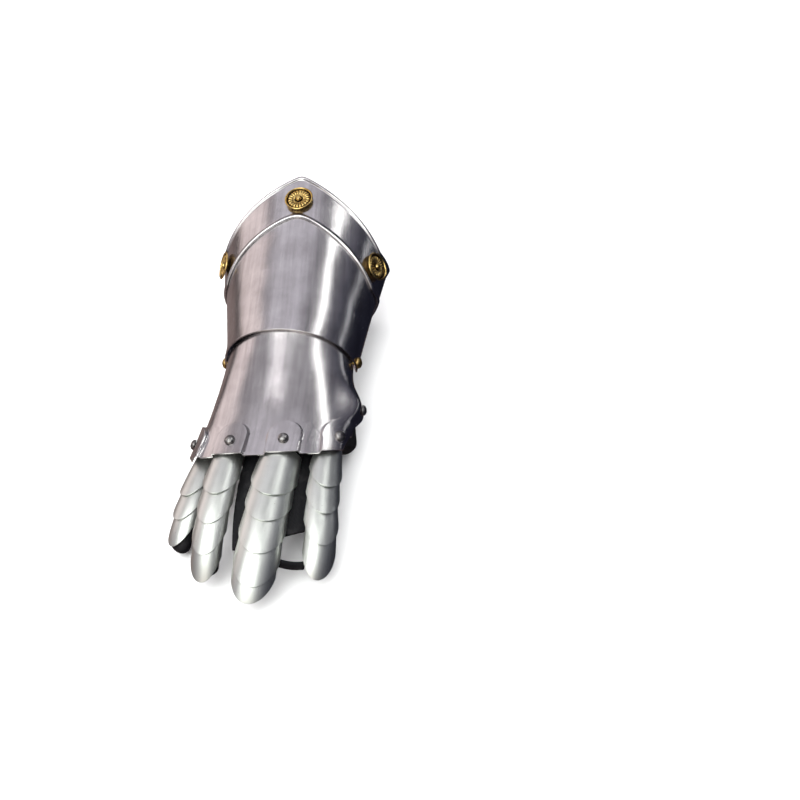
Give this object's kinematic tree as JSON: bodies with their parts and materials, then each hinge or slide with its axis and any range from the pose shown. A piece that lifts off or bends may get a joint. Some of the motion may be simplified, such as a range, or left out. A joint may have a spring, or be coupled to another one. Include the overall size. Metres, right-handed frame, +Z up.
{
  "type": "armoured gauntlet",
  "caption": "Plate gauntlet for one hand: flared cuff with a brass-studded border, hinged hand plate, tiled finger plates over a leather glove.",
  "frame": {"origin": "middle of the outline on the surface that it lies on", "axes": "+Y towards the elbow, +Z up from the back of the hand, +X to the thumb side"},
  "size_m": [0.136, 0.3352, 0.1023],
  "materials": {
    "plate_steel": "polished sheet steel with long brushed streaks",
    "finger_steel": "bright satin sheet steel",
    "rivet_steel": "aged domed steel",
    "brass": "antiqued brass, dark in its hollows",
    "leather": "black glove leather"
  },
  "bodies": {
    "cuff": {"cuff": "plate_steel", "cuff_border": "plate_steel", "rosette_centre": "brass", "rosette_left": "brass", "rosette_right": "brass", "wrist_rivet_left": "brass", "wrist_rivet_right": "brass"},
    "hand": {"hand_plate": "plate_steel", "knuckle_rivet_little": "rivet_steel", "knuckle_rivet_ring": "rivet_steel", "knuckle_rivet_middle": "rivet_steel", "knuckle_rivet_index": "rivet_steel", "thumb_rivet": "rivet_steel", "glove_little_finger": "leather", "little_lame_1": "finger_steel", "little_lame_2": "finger_steel", "little_lame_3": "finger_steel", "glove_ring_finger": "leather", "ring_lame_1": "finger_steel", "ring_lame_2": "finger_steel", "ring_lame_3": "finger_steel", "ring_lame_4": "finger_steel", "glove_middle_finger": "leather", "middle_lame_1": "finger_steel", "middle_lame_2": "finger_steel", "middle_lame_3": "finger_steel", "middle_lame_4": "finger_steel", "middle_lame_5": "finger_steel", "glove_index_finger": "leather", "index_lame_1": "finger_steel", "index_lame_2": "finger_steel", "index_lame_3": "finger_steel", "index_lame_4": "finger_steel", "glove_palm": "leather", "glove_web_ring_middle": "leather", "glove_web_middle_index": "leather", "finger_loop": "leather"}
  },
  "joints": [
    {"name": "wrist", "type": "hinge", "parent": "cuff", "child": "hand", "pos_m": [0.00631, 0.03005, 0.042], "axis": [1, 0, 0], "range_deg": [-15, 20]}
  ]
}
